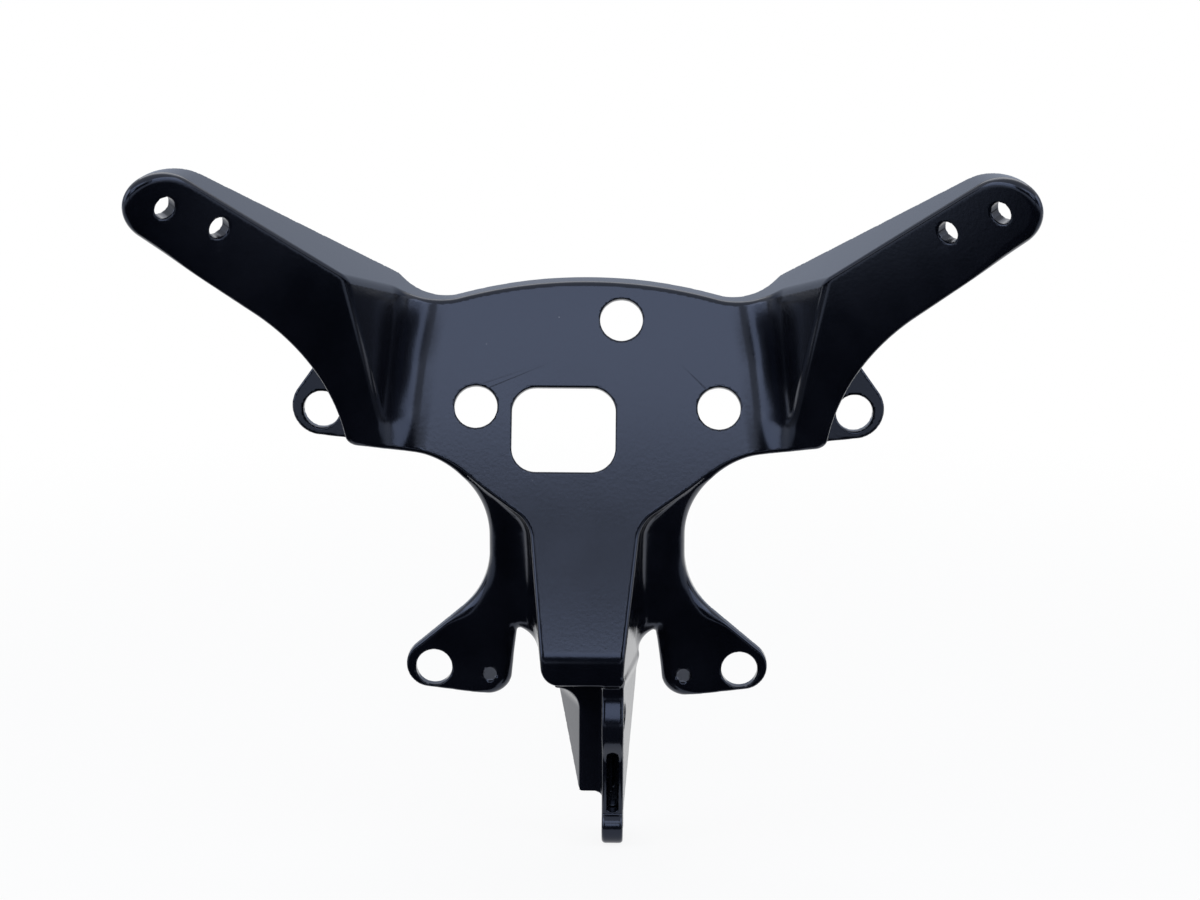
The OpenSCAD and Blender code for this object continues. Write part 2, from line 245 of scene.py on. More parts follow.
@dataclass
class SurfaceNet:
    """Lays a mesh of quads on the zero surface of a field."""

    shape: Callable[[Array, Array, Array], Array]
    low: Triple
    high: Triple
    cell: float = 1.0
    block: int = 14
    quick_step: float = 0.02
    normal_step: float = 0.12

    def grid(self) -> Array:
        """Values of the field at the nodes of a regular grid.

        The grid is cut into blocks. A block whose middle is farther from the surface than one and
        a half times its half diagonal holds only that middle's value.

        Returns:
            The values.
        """
        axes = [np.arange(low, high + self.cell, self.cell, dtype=np.float32)
                for low, high in zip(self.low, self.high)]
        starts = [np.arange(0, len(a), self.block) for a in axes]
        middles = [a[np.minimum(s + self.block // 2, len(a) - 1)] for a, s in zip(axes, starts)]
        coarse = self.shape(middles[0][:, None, None], middles[1][None, :, None], middles[2][None, None, :])
        whole = np.broadcast_to(coarse, [len(s) for s in starts])
        values = whole.repeat(self.block, 0).repeat(self.block, 1).repeat(self.block, 2)
        values = values[:len(axes[0]), :len(axes[1]), :len(axes[2])].astype(np.float32)
        reach = 1.5 * self.block * self.cell * math.sqrt(3) / 2
        for a, b, c in np.argwhere(np.abs(whole) < reach):
            i, j, k = (slice(s[n], s[n] + self.block) for s, n in zip(starts, (a, b, c)))
            places = axes[0][i, None, None], axes[1][None, j, None], axes[2][None, None, k]
            values[i, j, k] = self.shape(*places)
        return values

    def quads(self) -> tuple[Array, Array]:
        """One point in each cell that the surface crosses, and one quad round each crossed edge.

        Formula: a cell's point is the mean of the places where the field, taken as linear along
        the cell's edges, is zero.

        Returns:
            Points (n, 3) and quads (m, 4), facing outward.
        """
        values = self.grid()
        inside = values < 0
        count = np.zeros([n - 1 for n in values.shape], np.uint8)
        corners = [(i, j, k) for i in (0, 1) for j in (0, 1) for k in (0, 1)]
        for i, j, k in corners:
            count += inside[i:i + count.shape[0], j:j + count.shape[1], k:k + count.shape[2]]
        cells = np.argwhere((count > 0) & (count < 8))
        number = np.full(count.shape, -1, np.int32)
        number[tuple(cells.T)] = np.arange(len(cells))
        at = np.stack([values[tuple((cells + c).T)] for c in corners], 1)
        total = np.zeros((len(cells), 3))
        hits = np.zeros(len(cells))
        for a, ca in enumerate(corners):
            for b, cb in enumerate(corners):
                if b <= a or sum(abs(p - q) for p, q in zip(ca, cb)) != 1:
                    continue
                crossed = (at[:, a] < 0) != (at[:, b] < 0)
                share = np.where(crossed, at[:, a] / np.where(crossed, at[:, a] - at[:, b], 1.0), 0.0)
                place = np.array(ca) + share[:, None] * (np.array(cb) - np.array(ca))
                total += place * crossed[:, None]
                hits += crossed
        points = (cells + total / hits[:, None]) * self.cell + np.array(self.low)
        rings = [self._rings(inside, number, axis) for axis in range(3)]
        return points, np.concatenate(rings)

    def _rings(self, inside: Array, number: Array, axis: int) -> Array:
        """Quads round the grid edges along one axis that cross the surface.

        Args:
            inside: whether each node is inside.
            number: index of each cell's point.
            axis: 0, 1 or 2.

        Returns:
            Quads (m, 4) of point indices.
        """
        one, two = (axis + 1) % 3, (axis + 2) % 3
        here = np.moveaxis(inside, (axis, one, two), (0, 1, 2))
        cells = np.moveaxis(number, (axis, one, two), (0, 1, 2))
        flips = np.argwhere(here[1:, 1:-1, 1:-1] != here[:-1, 1:-1, 1:-1])
        a, b, c = flips.T
        b, c = b + 1, c + 1
        ring = np.stack([cells[a, b - 1, c - 1], cells[a, b, c - 1], cells[a, b, c], cells[a, b - 1, c]], 1)
        outward = here[a, b, c]
        return np.where(outward[:, None], ring, ring[:, ::-1])

    def slope(self, points: Array, step: float, values: Array | None = None) -> Array:
        """Gradient of the field: central differences, or quick one-sided ones from known values.

        Args:
            points: places (n, 3).
            step: distance to the samples of each axis.
            values: the field at the points, where it is known.

        Returns:
            Gradients (n, 3).
        """
        shifts = np.eye(3) * step
        ahead = np.stack([self.shape(*(points + shift).T) for shift in shifts], 1)
        if values is not None:
            return (ahead - values[:, None]) / step
        return (ahead - np.stack([self.shape(*(points - shift).T) for shift in shifts], 1)) / (2 * step)

    def settle(self, points: Array, rounds: int = 2) -> Array:
        """Moves points onto the surface by Newton's rule: back along the gradient by value over slope.

        Args:
            points: places (n, 3).
            rounds: how often the rule is used.

        Returns:
            The moved points.
        """
        for _ in range(rounds):
            values = self.shape(*points.T)
            slope = self.slope(points, self.quick_step, values)
            step = np.clip(values / np.maximum((slope**2).sum(1), 0.25), -self.cell / 2, self.cell / 2)
            points = points - slope * step[:, None]
        return points

    def relax(self, points: Array, quads: Array, rounds: int = 4) -> Array:
        """Evens out the net: each point slides half way to its neighbours' mean, square to its normal.

        Formula: a point's normal is the sum of the cross products of its quads' diagonals.

        Args:
            points: places (n, 3).
            quads: the net's quads.
            rounds: how often the points slide.

        Returns:
            The moved points.
        """
        a = quads.ravel()
        b = np.roll(quads, -1, 1).ravel()
        valence = (np.bincount(a, minlength=len(points)) + np.bincount(b, minlength=len(points)))[:, None]
        for _ in range(rounds):
            sums = [np.bincount(a, points[b, i], len(points)) + np.bincount(b, points[a, i], len(points))
                    for i in range(3)]
            corner = points[quads]
            face = np.cross(corner[:, 2] - corner[:, 0], corner[:, 3] - corner[:, 1]).repeat(4, 0)
            normal = np.stack([np.bincount(a, face[:, i], len(points)) for i in range(3)], 1)
            normal /= np.linalg.norm(normal, axis=1, keepdims=True) + 1e-9
            pull = np.stack(sums, 1) / valence - points
            points = points + 0.5 * (pull - normal * (pull * normal).sum(1, keepdims=True))
        return points


# ---- the casting


@dataclass(frozen=True)
class CastingSizes:
    """Sizes of the casting in millimetres, round the middle of the gauge plate.

    Names end in r for a radius, t for a thickness, x, y or z for a place, and turn for degrees. Pairs
    are x and z on the front, but y and z on the bolts, the lug and the gusset.
    """

    wall: float = 4.0
    draft: float = 0.045
    skirt: float = 15.0
    back_y: float = 12.0
    rib_t: float = 3.0
    rib_short: float = 2.0
    rib_x: Pair = (-36.7, 30.5)
    rib_z: float = 14.3
    rib_low: float = -33.5
    rib_arch: float = 45.2
    arm_rib_x: Pair = (116.0, 136.0)
    arm_rib_z: float = 40.0
    arm_rib_turn: float = 41.7
    plate_lean: float = 20.0
    plate_top: float = 50.5
    arch_r: float = 234.0
    arch_half: float = 58.0
    inner_half: float = 85.4
    inner_lean: float = 0.287
    gauge_r: float = 9.6
    gauge_holes: tuple[Pair, ...] = ((-49.9, -2.8), (58.9, -2.8), (14.9, 35.0))
    window_half: Pair = (23.2, 19.2)
    window_r: float = 11.0
    window_at: Pair = (-10.5, -12.4)
    arm_sweep: float = 0.85
    arm_rise: float = 0.42
    arm_meet: float = 57.2
    tip_at: Pair = (164.5, 93.5)
    tip_r: float = 19.9
    pad_holes: tuple[Pair, ...] = ((163.0, 93.6), (145.14, 84.31))
    pad_r: float = 4.5
    pad_t: float = 6.5
    pad_start: float = 137.1
    pad_cut: Pair = (-3.0, 9.0)
    ear_r: float = 8.25
    ear_t: float = 6.0
    upper_ear_r: float = 13.3
    upper_ear: Pair = (120.0, -6.0)
    upper_ear_lift: float = 1.6
    upper_ear_back: float = 1.0
    upper_ear_root: float = 103.4
    upper_ear_turns: Pair = (36.0, 6.3)
    lower_ear_r: float = 10.4
    lower_ear: Pair = (70.0, -125.2)
    mark_r: float = 3.3
    mark_depth: float = 0.4
    foot: Pair = (44.4, -128.2)
    neck_half: float = 44.0
    leg_inner: float = 33.0
    leg_lean: float = 0.25
    leg_start_z: float = -33.0
    leg_foot_r: float = 4.0
    notch_z: float = -105.5
    notch_lip: float = 3.0
    tongue_half: float = 22.0
    tongue_root: float = 26.0
    tongue_root_z: float = -64.0
    tongue_end: float = -125.2
    tongue_draft: float = 0.1
    tongue_skew: float = 0.03
    tongue_free_z: float = -88.0
    tongue_free: float = -12.0
    lower_reach: Pair = (64.0, 6.0)
    end_wall_y: float = -39.6
    lug_left: float = 7.7
    lug_right: float = 17.4
    lug_inset: float = 0.4
    lug_corners: tuple[Pair, ...] = (
        (-37.6, -119.2), (11.0, -119.2), (11.0, -133.2), (2.0, -190.5), (-20.0, -198.2), (-25.0, -190.5),
        (-36.0, -141.0))
    bolt_r: float = 4.25
    bolt: Pair = (-28.0, -141.0)
    low_bolt: Pair = (-22.0, -190.5)
    boss_r: float = 12.0
    low_boss_r: float = 8.0
    seat_r: float = 8.75
    groove_half: float = 2.5
    groove_y: float = -18.0
    groove_z: Pair = (-180.5, -155.5)
    gusset_left: float = -2.4
    gusset_y: float = -22.0
    gusset_corners: tuple[Pair, ...] = (
        (-22.0, -119.2), (11.0, -119.2), (11.0, -133.2), (-21.0, -175.0), (-22.0, -175.0))
    gusset_lean: float = 0.33
    gusset_curve: float = 9.5
    gusset_top: float = -127.0
    gusset_over: float = 1.7
    back_plane: Plane = Plane(193.22, -1.565, -0.403)

    @property
    def plate_plane(self) -> Plane:
        """Front of the plate and of the tongue."""
        return Plane(0.0, 0.0, math.tan(math.radians(self.plate_lean)))

    @property
    def arm_plane(self) -> Plane:
        """Front of the arms."""
        return Plane(self.arm_meet, -self.arm_sweep, -self.arm_rise)

    def to_part(self) -> Array:
        """Shift from these sizes' middle to the part's origin in the upper frame bolt's bore."""
        return np.array([-(self.lug_left + self.lug_right) / 2, -self.bolt[0], -self.bolt[1]])


@dataclass(frozen=True)
class Rounding:
    """Radii of the casting's fillets and edges in millimetres, and the spans in which they change."""

    least: float = 1e-4
    inside: float = 3.0
    arm_fillet: float = 16.5
    arm_fillet_more: float = 2.5
    arm_fillet_z: float = 6.0
    arm_fillet_span: Pair = (8.0, 36.0)
    arm_edge: float = 1.8
    crest: float = 3.0
    notch: float = 2.0
    tongue_edge: float = 2.0
    tongue_end: float = 1.4
    tongue_end_span: Pair = (112.0, 121.0)
    tongue_nose: float = 0.9
    tongue_fillet: float = 12.0
    tongue_span: Pair = (33.0, 60.0)
    pocket_corner: float = 2.0
    pocket_span: Pair = (40.0, 60.0)
    leg_edge: float = 6.5
    leg_span: Pair = (14.0, 50.0)
    leg_fade: Pair = (48.0, 66.0)
    leg_fade_lean: float = 0.35
    leg_fade_z: float = -105.0
    foot_less: float = 0.8
    foot_span: Pair = (112.0, 120.0)
    tip: float = 5.0
    tip_x: Pair = (150.0, 172.0)
    tip_z: Pair = (55.0, 75.0)
    rim: float = 0.9
    bore: float = 0.7
    mark: float = 0.2
    pad: float = 2.0
    rib: float = 1.5
    ear_edge: float = 1.0
    ear_fillet: float = 1.5
    lug_edge: float = 1.7
    lug_fillet: float = 2.5
    lug_seat: float = 0.5
    boss_fillet: float = 6.0
    groove: float = 0.8
    gusset_edge: float = 1.2
    gusset_fillet: float = 2.0
    gusset_end: float = 0.5


@dataclass
class Casting:
    """The stay: plate, arms, neck, legs, tongue and lug, cast in one."""

    sizes: CastingSizes = field(default_factory=CastingSizes)
    rounding: Rounding = field(default_factory=Rounding)
    cell: float = 1.0
    low: Triple = (-181.0, -138.0, -201.0)
    high: Triple = (181.0, 37.0, 111.0)
    most_triangles: int = 190_000
    name: str = "stay_casting"

    def __post_init__(self) -> None:
        """Draws the two outlines once."""
        self.body = self.body_outline()
        self.tongue = self.tongue_outline()

    def body_outline(self) -> Outline:
        """Right half of the body's outline, clockwise from the plate's top to the notch.

        Returns:
            The half outline, to be asked with |x|.
        """
        s = self.sizes
        arch = math.degrees(math.asin(s.arch_half / s.arch_r))
        arch_low = s.plate_top - s.arch_r * (1 - math.cos(math.radians(arch)))
        top_line, low_line = 41.7, 42.5
        dip_n = (math.sin(math.radians(arch)), math.cos(math.radians(arch)))
        line_n = (-math.sin(math.radians(top_line)), math.cos(math.radians(top_line)))
        gap = (s.arch_half - s.tip_at[0]) * line_n[0] + (arch_low - s.tip_at[1]) * line_n[1] - s.tip_r
        dip_r = gap / (1 - dip_n[0] * line_n[0] - dip_n[1] * line_n[1])
        sweep_r, sweep_x, sweep_z = 98.0, 203.4, -28.8
        corner_z, corner_r, shelf = -18.8, 7.0, 10.0
        turn = 180 - math.degrees(math.asin((corner_z + corner_r - sweep_z) / (sweep_r + corner_r)))
        corner_x = sweep_x + (sweep_r + corner_r) * math.cos(math.radians(turn))
        neck_top_r, neck_top_z, neck_low_r, neck_low_z, leg = 39.4, -62.0, 36.2, -70.0, 50.1
        ear_x, ear_z = s.lower_ear[0] + 1.9, s.lower_ear[1] + 1.4
        foot_r, foot_line, inner_line, notch_r = 9.5, -83.0, 4.8, 3.0
        dip_x, dip_z = s.arch_half + dip_r * dip_n[0], arch_low + dip_r * dip_n[1]
        bulge, hollow = Turn.BULGE, Turn.HOLLOW
        arcs = (
            Arc(0.0, s.plate_top - s.arch_r, s.arch_r, 90, 90 - arch, bulge),
            Arc(dip_x, dip_z, dip_r, 270 - arch, 270 + top_line, hollow),
            Arc(*s.tip_at, s.tip_r, 90 + top_line, low_line - 90, bulge),
            Arc(sweep_x, sweep_z, sweep_r, 90 + low_line, turn, hollow),
            Arc(corner_x, corner_z + corner_r, corner_r, turn - 180, shelf - 90, bulge),
            Arc(s.neck_half + neck_top_r, neck_top_z, neck_top_r, 90 + shelf, 180, hollow),
            Arc(s.neck_half + neck_low_r, neck_low_z, neck_low_r, 180, 180 + leg, hollow),
            Arc(ear_x, ear_z, s.lower_ear_r, leg, foot_line, bulge),
            Arc(*s.foot, foot_r, foot_line, inner_line - 180, bulge),
            Arc(s.leg_inner - notch_r, s.notch_z - notch_r, notch_r, inner_line, 90, hollow),
        )
        return Outline(arcs, (0.0, s.plate_top), (0.0, s.notch_z))

    def tongue_outline(self) -> Outline:
        """Outline of the tongue at the parting plane, tight at its right corner, flared at its root.

        The flares run out sideways past the neck, so everything above them is inside.

        Returns:
            The open outline.
        """
        s = self.sizes
        flare, flare_z, rise, right_r, left_r, far = 12.0, -60.0, 35.0, 6.3, 12.0, 90.0
        root_turn, left_turn, right_turn = 3.0, 2.0, 2.0
        flare_x = s.tongue_root + flare
        bulge, hollow = Turn.BULGE, Turn.HOLLOW
        arcs = (
            Arc(flare_x, flare_z, flare, 90 + rise, 180 - root_turn, hollow),
            Arc(s.tongue_half - right_r, s.tongue_end + right_r, right_r, -right_turn, -90, bulge),
            Arc(left_r - s.tongue_half, s.tongue_end + left_r, left_r, -90, left_turn - 180, bulge),
            Arc(-flare_x, flare_z, flare, root_turn, 90 - rise, hollow),
        )
        root_x, root_z = arcs[0].tip(90 + rise)
        far_x, far_z = root_x + far, root_z + far * math.tan(math.radians(rise))
        return Outline(arcs, (far_x, far_z), (-far_x, far_z))

    def fronts(self, ax: Array, y: Array, z: Array, inset: float) -> tuple[Array, Array, Array]:
        """Fields behind the arms' faces, behind the plate and behind the legs, each set back by inset.

        Args:
            ax, y, z: places, with |x|.
            inset: how far each face is set back.

        Returns:
            The arm field, the plate field and the field of plate and legs together.
        """
        s, r = self.sizes, self.rounding
        turn = math.atan(s.inner_lean)
        face = s.arm_plane.ahead(ax, y, z) + inset
        inner = (s.inner_half - ax) * math.cos(turn) - y * math.sin(turn) + inset
        arm = trim(face, inner, r.arm_edge)
        plate = s.plate_plane.ahead(ax, y, z) + inset
        start = s.plate_plane.depth(0.0, s.leg_start_z) + s.leg_lean * s.leg_start_z
        leg = Plane(start, 0.0, -s.leg_lean).ahead(ax, y, z) + inset
        leg = join(leg, s.back_y - s.ear_t - y + inset, s.leg_foot_r)
        return arm, plate, trim(plate, leg, r.crest)

    def backs(self, ax: Array, y: Array, z: Array, short: float) -> Array:
        """Field in front of the casting's back edges, drawn forward by short.

        Args:
            ax, y, z: places, with |x|.
            short: how far the edges are drawn forward.

        Returns:
            Signed distance, negative in front.
        """
        s = self.sizes
        arm = -s.back_plane.ahead(ax, y, z)
        plate = -s.plate_plane.ahead(ax, y - s.skirt, z)
        return np.maximum(arm, np.minimum(plate, y - s.back_y)) + short

    def edge_radius(self, ax: Array, z: Array) -> Array:
        """Radius of the outer front edge: tight on the plate and arms, round at the tips and down the legs.

        Args:
            ax, z: places, with |x|.

        Returns:
            The radius at each place.
        """
        r = self.rounding
        tip = (r.tip - r.arm_edge) * ease(ax, *r.tip_x) * ease(z, *r.tip_z)
        fade = ease(ax + r.leg_fade_lean * (r.leg_fade_z - z), *r.leg_fade)
        leg = (r.leg_edge - r.arm_edge) * ease(-z, *r.leg_span) * (1.0 - fade)
        return r.arm_edge + tip + leg - r.foot_less * ease(-z, *r.foot_span)

    def lower_parts(self, x: Array, y: Array, z: Array, plate: Array) -> tuple[Array, Array, Array]:
        """Fields of the tongue, of its hollow and of the lug with its gusset.

        Args:
            x, y, z: places.
            plate: field behind the plate's front.

        Returns:
            Three signed distances.
        """
        s, r = self.sizes, self.rounding
        lateral = self.tongue.distance(x - s.tongue_skew * y, z) - s.tongue_draft * y
        wall = s.end_wall_y - y
        tongue = trim(lateral, trim(plate, wall, r.tongue_nose), self.tongue_edge(z))
        hollow = trim(lateral + s.wall, trim(plate + s.wall, wall + s.wall, r.pocket_corner), r.inside)
        return tongue, hollow, join(self.lug(x, y, z), self.gusset(x, y, z), r.gusset_fillet)

    def tongue_edge(self, z: Array) -> Array:
        """Radius of the tongue's front edges: soft along its sides, tighter at its end."""
        r = self.rounding
        return r.tongue_edge - (r.tongue_edge - r.tongue_end) * ease(-z, *r.tongue_end_span)

    def lug(self, x: Array, y: Array, z: Array) -> Array:
        """Field of the lug: its side profile, carried across its thickness, with a groove in front.

        Args:
            x, y, z: places.

        Returns:
            Signed distance, negative inside.
        """
        s, r = self.sizes, self.rounding
        (by, bz), (ly, lz) = s.bolt, s.low_bolt
        profile = convex(s.lug_corners, y, z)
        profile = join(profile, np.hypot(y - by, z - bz) - s.boss_r, r.boss_fillet)
        profile = np.minimum(profile, np.hypot(y - ly, z - lz) - s.low_boss_r)
        taper = (s.tongue_root - s.tongue_half) / (s.tongue_root_z - s.tongue_end)
        wedge = (s.tongue_half - s.lug_inset + (s.tongue_draft + s.tongue_skew) * y
                 + taper * (z - s.tongue_end))
        across = np.maximum(s.lug_left - x, x - np.maximum(s.lug_right, wedge))
        result = trim(profile, across, r.lug_edge)
        for cy, cz in (s.bolt, s.low_bolt):
            seat = np.maximum(np.hypot(y - cy, z - cz) - s.seat_r, s.lug_right - x)
            bore = np.hypot(y - cy, z - cz) - s.bolt_r
            result = trim(result, -np.minimum(seat, bore), r.lug_seat)
        middle = (s.lug_left + s.lug_right) / 2
        drop = np.clip(z, *s.groove_z)
        groove = np.hypot(x - middle, z - drop) - s.groove_half
        return trim(result, -np.maximum(groove, y - s.groove_y), r.groove)

    def gusset(self, x: Array, y: Array, z: Array) -> Array:
        """Field of the gusset beside the lug, its left face leaning and curving out under the tongue.

        Args:
            x, y, z: places.

        Returns:
            Signed distance, negative inside.
        """
        s, r = self.sizes, self.rounding
        level = x + s.gusset_lean * (y - s.gusset_y)
        left = (s.gusset_left - level) / math.hypot(1.0, s.gusset_lean)
        under = np.maximum(s.gusset_top - z, s.gusset_left - s.gusset_curve - s.gusset_over - x)
        face = join(left, under, s.gusset_curve)
        middle = (s.lug_left + s.lug_right) / 2
        return trim(trim(face, convex(s.gusset_corners, y, z), r.gusset_edge), x - middle, r.gusset_end)

    def ribs(self, x: Array, z: Array) -> Array:
        """Field of the stiffening ribs, seen from the front.

        Args:
            x, z: places.

        Returns:
            Signed distance, negative inside.
        """
        s = self.sizes
        half = s.rib_t / 2
        upright = np.minimum(np.abs(x - s.rib_x[0]), np.abs(x - s.rib_x[1])) - half
        arch = np.maximum(np.abs(x - s.gauge_holes[2][0]) - half, s.rib_arch - z)
        across = np.maximum(np.abs(z - s.rib_z) - half, np.abs(x) - s.inner_half + s.wall)
        result = np.minimum(np.maximum(upright, s.rib_low - z), np.minimum(arch, across))
        turn = math.radians(s.arm_rib_turn)
        for start in s.arm_rib_x:
            off = (np.abs(x) - start) * math.cos(turn) + (z - s.arm_rib_z) * math.sin(turn)
            result = np.minimum(result, np.abs(off) - half)
        return result

    def upper_ears(self, ax: Array, y: Array, z: Array) -> Array:
        """Field of the ears outside the arms' roots: a flat plate round the grommet hole.

        Args:
            ax, y, z: places, with |x|.

        Returns:
            Signed distance, negative inside.
        """
        s = self.sizes
        cx, cz, root = s.upper_ear[0], s.upper_ear[1] + s.upper_ear_lift, s.upper_ear_root
        top, low = (math.radians(turn) for turn in s.upper_ear_turns)
        ux, uz = cx + s.upper_ear_r * math.cos(top), cz + s.upper_ear_r * math.sin(top)
        lx, lz = cx + s.upper_ear_r * math.sin(low), cz - s.upper_ear_r * math.cos(low)
        root_low, root_high = lz - (lx - root) * math.tan(low), uz + (ux - root) / math.tan(top)
        web = convex([(ux, uz), (lx, lz), (root, root_low), (root, root_high)], ax, z)
        flat = np.minimum(web, np.hypot(ax - cx, z - cz) - s.upper_ear_r)
        middle = s.back_y - s.ear_t / 2 + s.upper_ear_back
        return trim(flat, np.abs(y - middle) - s.ear_t / 2, self.rounding.ear_edge)

    def cuts(self, x: Array, y: Array, z: Array) -> Array:
        """Field of all bores and of the window.

        Args:
            x, y, z: places.

        Returns:
            Signed distance, negative inside a cut.
        """
        s = self.sizes
        ax = np.abs(x)
        lean = math.radians(s.plate_lean)
        up = y * math.sin(lean) + z * math.cos(lean)
        result = None
        for gx, gz in s.gauge_holes:
            hole = np.hypot(x - gx, up - gz / math.cos(lean)) - s.gauge_r
            result = hole if result is None else np.minimum(result, hole)
        qx = np.abs(x - s.window_at[0]) - s.window_half[0] + s.window_r
        qz = np.abs(up - s.window_at[1] / math.cos(lean)) - s.window_half[1] + s.window_r
        window = np.hypot(np.maximum(qx, 0), np.maximum(qz, 0)) + np.minimum(np.maximum(qx, qz), 0)
        result = np.minimum(result, window - s.window_r)
        for ex, ez in (s.upper_ear, s.lower_ear):
            result = np.minimum(result, np.hypot(ax - ex, z - ez) - s.ear_r)
        norm = math.hypot(1.0, s.arm_sweep, s.arm_rise)
        depth = -s.arm_plane.ahead(ax, y, z)
        span = np.maximum(s.pad_cut[0] - depth, depth - s.pad_cut[1])
        for px, pz in s.pad_holes:
            dx, dy, dz = ax - px, y - s.arm_plane.depth(px, pz), z - pz
            deep = (dx * s.arm_sweep + dy + dz * s.arm_rise) / norm
            hole = np.sqrt(np.maximum(dx**2 + dy**2 + dz**2 - deep**2, 0)) - s.pad_r
            result = np.minimum(result, np.maximum(hole, span))
        return result

    def shape(self, x: Array, y: Array, z: Array) -> Array:
        """Field of the whole casting.

        Formula: everything inside the drafted outline, behind the front faces and before the back
        edges, with the tongue; less the same set in by the wall, save the pads and ribs; with the
        ears and the lug; less the bores.

        Args:
            x, y, z: places in millimetres, as arrays that broadcast together.

        Returns:
            Signed distance, negative inside.
        """
        s, r = self.sizes, self.rounding
        ax = np.abs(x)
        flat = self.body.distance(ax, z)
        side = (flat - s.draft * y) / math.hypot(1.0, s.draft)
        arm, plate, lower = self.fronts(ax, y, z, 0.0)
        edge = self.edge_radius(ax, z)
        fillet = r.arm_fillet + r.arm_fillet_more * ease(np.abs(z - r.arm_fillet_z), *r.arm_fillet_span)
        outer = trim(side, join(arm, lower, fillet), edge)
        arm_in, _, lower_in = self.fronts(ax, y, z, s.wall)
        hollow = trim(side + s.wall, join(arm_in, lower_in, fillet), r.inside)
        hollow = trim(hollow, s.notch_z + s.notch_lip - z, r.notch)
        near = bool(ax.min() < s.lower_reach[0] and z.min() < s.lower_reach[1])
        if near:
            tongue, pocket, lug = self.lower_parts(x, y, z, plate)
            beside = np.where(z > s.tongue_free_z, side, s.tongue_free)
            tongue = trim(tongue, beside, edge)
            pocket = trim(pocket, beside + s.wall, r.inside)
            filled = join(outer, tongue, r.least + r.tongue_fillet * ease(-z, *r.tongue_span))
            outer = np.maximum(filled, np.minimum(outer, plate))
            hollow = join(hollow, pocket, r.least + r.inside * ease(-z, *r.pocket_span))
        outer = trim(outer, self.backs(ax, y, z, 0.0), r.rim)
        depth = -s.arm_plane.ahead(ax, y, z)
        pads = np.maximum(s.wall / 2 - depth, depth - s.pad_t)
        hollow = trim(hollow, -np.maximum(pads, np.maximum(s.pad_start - ax, -z)), r.pad)
        ribs = np.maximum(self.ribs(x, z), self.backs(ax, y, z, s.rib_short))
        result = trim(outer, -trim(hollow, -ribs, r.rib), r.rim)
        result = join(result, self.upper_ears(ax, y, z), r.ear_fillet)
        if near:
            result = join(result, lug, r.lug_fillet)
        result = trim(result, -self.cuts(x, y, z), r.bore)
        fx, fz = s.foot
        sunk = y - (s.back_y - s.ear_t) - s.mark_depth
        return trim(result, -np.maximum(np.hypot(ax - fx, z - fz) - s.mark_r, sunk), r.mark)

    def build(self) -> bpy.types.Object:
        """Lays the surface, thins its flat stretches and gives it the field's normals.

        Returns:
            The piece, in metres in the part's frame.
        """
        net = SurfaceNet(self.shape, self.low, self.high, self.cell)
        points, quads = net.quads()
        LOG.info("net: %d points, %d quads", len(points), len(quads))
        points = net.settle(net.relax(points, quads))
        LOG.info("net settled")
        piece = mesh_object(self.name, points, quads)
        thin = piece.modifiers.new("thin", "DECIMATE")
        thin.ratio = min(1.0, self.most_triangles / (2.0 * len(quads)))
        depsgraph = bpy.context.evaluated_depsgraph_get()
        thinned = bpy.data.meshes.new_from_object(piece.evaluated_get(depsgraph))
        piece.modifiers.clear()
        mesh, piece.data = piece.data, thinned
        bpy.data.meshes.remove(mesh)
        thinned.name = self.name
        return self.finish(piece, net)

    def finish(self, piece: bpy.types.Object, net: SurfaceNet) -> bpy.types.Object:
        """Puts the thinned points back on the surface, sets the normals and moves to the part's frame.

        Args:
            piece: the thinned piece, in millimetres.
            net: the net that knows the field.

        Returns:
            The same piece.
        """
        mesh = piece.data
        points = np.empty(len(mesh.vertices) * 3)
        mesh.vertices.foreach_get("co", points)
        points = net.settle(points.reshape(-1, 3), 1)
        normals = net.slope(points, net.normal_step)
        normals /= np.linalg.norm(normals, axis=1, keepdims=True) + 1e-9
        moved = (points + self.sizes.to_part()) * MM
        mesh.vertices.foreach_set("co", moved.ravel().astype(np.float32))
        mesh.polygons.foreach_set("use_smooth", np.ones(len(mesh.polygons), bool))
        mesh.validate()
        mesh.update()
        mesh.normals_split_custom_set_from_vertices(normals.tolist())
        mesh.update()
        LOG.info("%s: %d points, %d faces", piece.name, len(mesh.vertices), len(mesh.polygons))
        return piece

    def dress(self, piece: bpy.types.Object, finish: "BlackCoat") -> None:
        """Gives the piece its coating and ties it to the frame.

        Args:
            piece: the casting.
            finish: its coating.
        """
        piece.data.materials.clear()
        piece.data.materials.append(finish.build(self.sizes))
        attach(piece, "root")
        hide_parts("fairing_stay")


# ---- shader tools


def math_method(operation: str, flip: bool = False) -> Callable[["Sock", Any], "Sock"]:
    """Method that adds the Math node of an operation on a socket and a value, or flipped."""
    return lambda self, other: self._math(operation, *((other, self) if flip else (self, other)))


